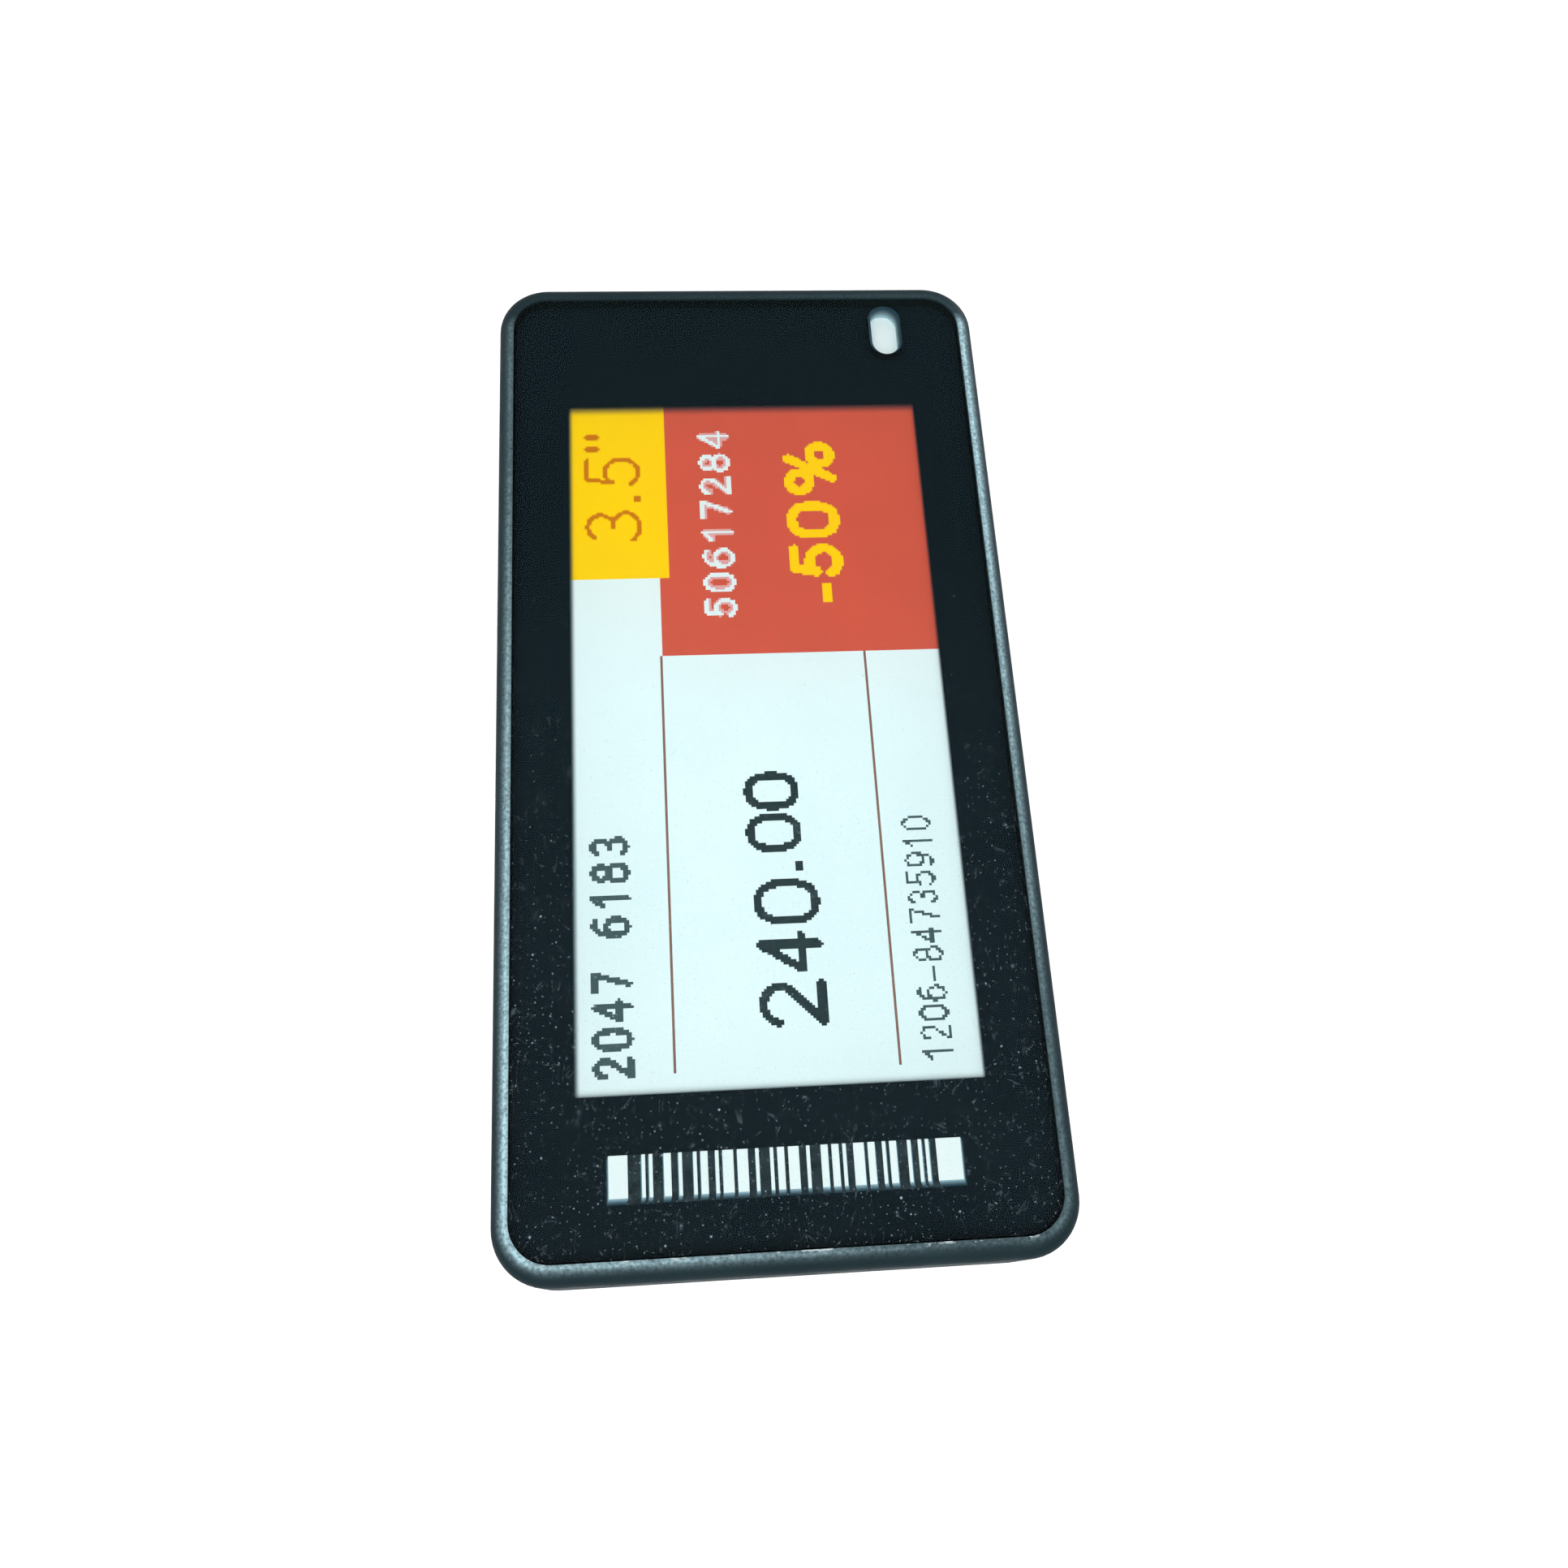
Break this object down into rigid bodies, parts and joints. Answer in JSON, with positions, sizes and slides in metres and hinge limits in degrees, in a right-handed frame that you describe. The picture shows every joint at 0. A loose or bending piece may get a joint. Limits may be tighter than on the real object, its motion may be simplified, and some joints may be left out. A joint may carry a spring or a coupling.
{
  "type": "electronic shelf label",
  "caption": "Flat upright electronic shelf label with a colour e-paper screen under a masked window, a bar strip, a signal light and a sliding battery door.",
  "frame": {"origin": "centre of the back face, on the surface that the label lies on", "axes": "+X across the label to the right of its screen, +Y along it towards the signal light, +Z from the back face to the screen"},
  "size_m": [0.0428, 0.0856, 0.0112],
  "materials": {
    "housing_plastic": "fine spark-eroded texture",
    "cover_plastic": "fine spark-eroded texture",
    "door_plastic": "fine spark-eroded texture",
    "window_acrylic": "clear, polished, finely scratched",
    "mask_ink": "black print behind the window",
    "mounting_tape": "black double-sided tape",
    "bar_ink": "matt dark print",
    "bar_plate": "white sheet",
    "light_plastic": "frosted clear plastic",
    "display_film": "clear film",
    "display_ink": "e-paper, white with printed figures",
    "display_glass": "thin glass",
    "bare_silicon": "bare die, mirror grey",
    "flex_polyimide": "amber polyimide",
    "soft_foam": "black foam",
    "board_laminate": "green solder mask",
    "chip_resin": "moulded black resin",
    "crystal_can": "plated can",
    "ferrite": "dark ferrite",
    "tantalum_case": "yellow resin",
    "capacitor_ceramic": "fired ceramic with tinned ends",
    "resistor_ceramic": "black glaze with tinned ends",
    "led_resin": "white case with a clear top",
    "antenna_metal": "tinned bronze",
    "connector_resin": "ivory heat-proof resin",
    "contact_metal": "gold flash",
    "latch_resin": "black heat-proof resin",
    "spring_metal": "nickel-plated bronze",
    "cell_steel": "nickel-plated",
    "gasket_resin": "blue seal"
  },
  "bodies": {
    "housing": {"front_frame": "housing_plastic", "front_window": "window_acrylic", "window_mask": "mask_ink", "window_tape": "mounting_tape", "code_bars": "bar_ink", "code_plate": "bar_plate", "light_guide": "light_plastic", "protective_film": "display_film", "ink_film": "display_ink", "backplane_glass": "display_glass", "driver_chip": "bare_silicon", "display_flex": "flex_polyimide", "display_pad": "soft_foam", "main_board": "board_laminate", "radio_chip": "chip_resin", "memory_chip": "chip_resin", "crystals": "crystal_can", "boost_inductor": "ferrite", "boost_transistor": "chip_resin", "rectifier_diodes": "chip_resin", "bulk_capacitor": "tantalum_case", "ceramic_capacitors": "capacitor_ceramic", "chip_resistors": "resistor_ceramic", "indicator_led": "led_resin", "radio_antenna": "antenna_metal", "flex_connector": "connector_resin", "connector_contacts": "contact_metal", "positive_contacts": "spring_metal", "negative_contacts": "spring_metal", "cell_cans": "cell_steel", "cell_gaskets": "gasket_resin", "cell_caps": "cell_steel", "back_cover": "cover_plastic"},
    "battery_door": {"battery_door": "door_plastic", "door_pad": "soft_foam"},
    "latch": {"connector_latch": "latch_resin"}
  },
  "joints": [
    {"name": "door_slide", "type": "slide", "parent": "housing", "child": "battery_door", "axis": [0, 1, 0], "range_m": [0, 0.005]},
    {"name": "latch_hinge", "type": "hinge", "parent": "housing", "child": "latch", "pos_m": [0, -0.03455, 0.006], "axis": [1, 0, 0], "range_deg": [0, 90]}
  ]
}
